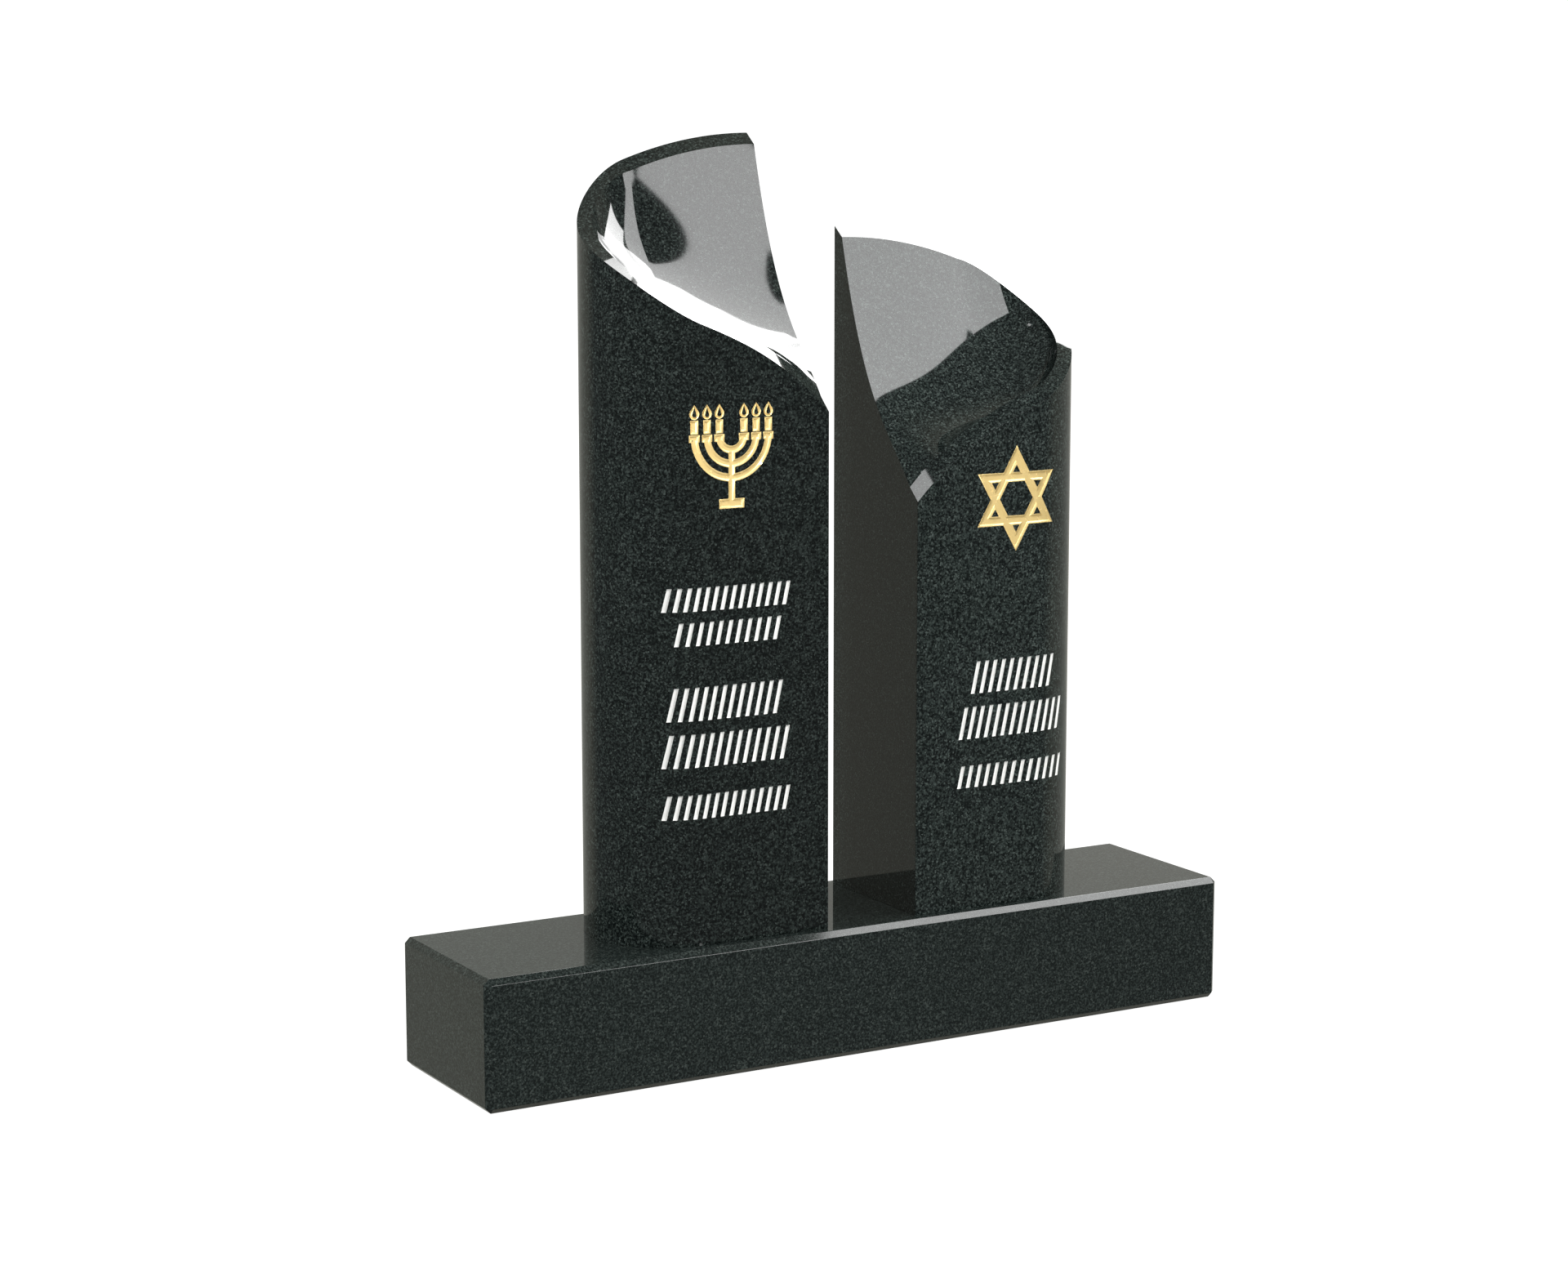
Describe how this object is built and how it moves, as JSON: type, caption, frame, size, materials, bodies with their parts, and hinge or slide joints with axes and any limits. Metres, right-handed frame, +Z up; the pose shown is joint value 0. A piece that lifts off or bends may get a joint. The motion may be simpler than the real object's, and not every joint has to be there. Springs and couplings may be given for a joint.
{
  "type": "headstone",
  "caption": "Family headstone of polished dark granite: a mirrored pair of upright stones with hollowed, sloping tops on a long chamfered base.",
  "frame": {"origin": "middle of the base's underside, on the ground", "axes": "+Z up, +X along the base towards the lower stone, -Y out of the carved front"},
  "size_m": [1.3208, 0.3048, 1.416],
  "materials": {
    "base_granite": "polished dark granite",
    "stone_granite": "polished dark granite with fine grey speckle",
    "gilding": "gold leaf in the sunk emblems",
    "white_paint": "matt white paint in the sunk strokes"
  },
  "bodies": {
    "root": {"base": "base_granite", "left_stone": "stone_granite", "right_stone": "stone_granite"}
  },
  "joints": []
}
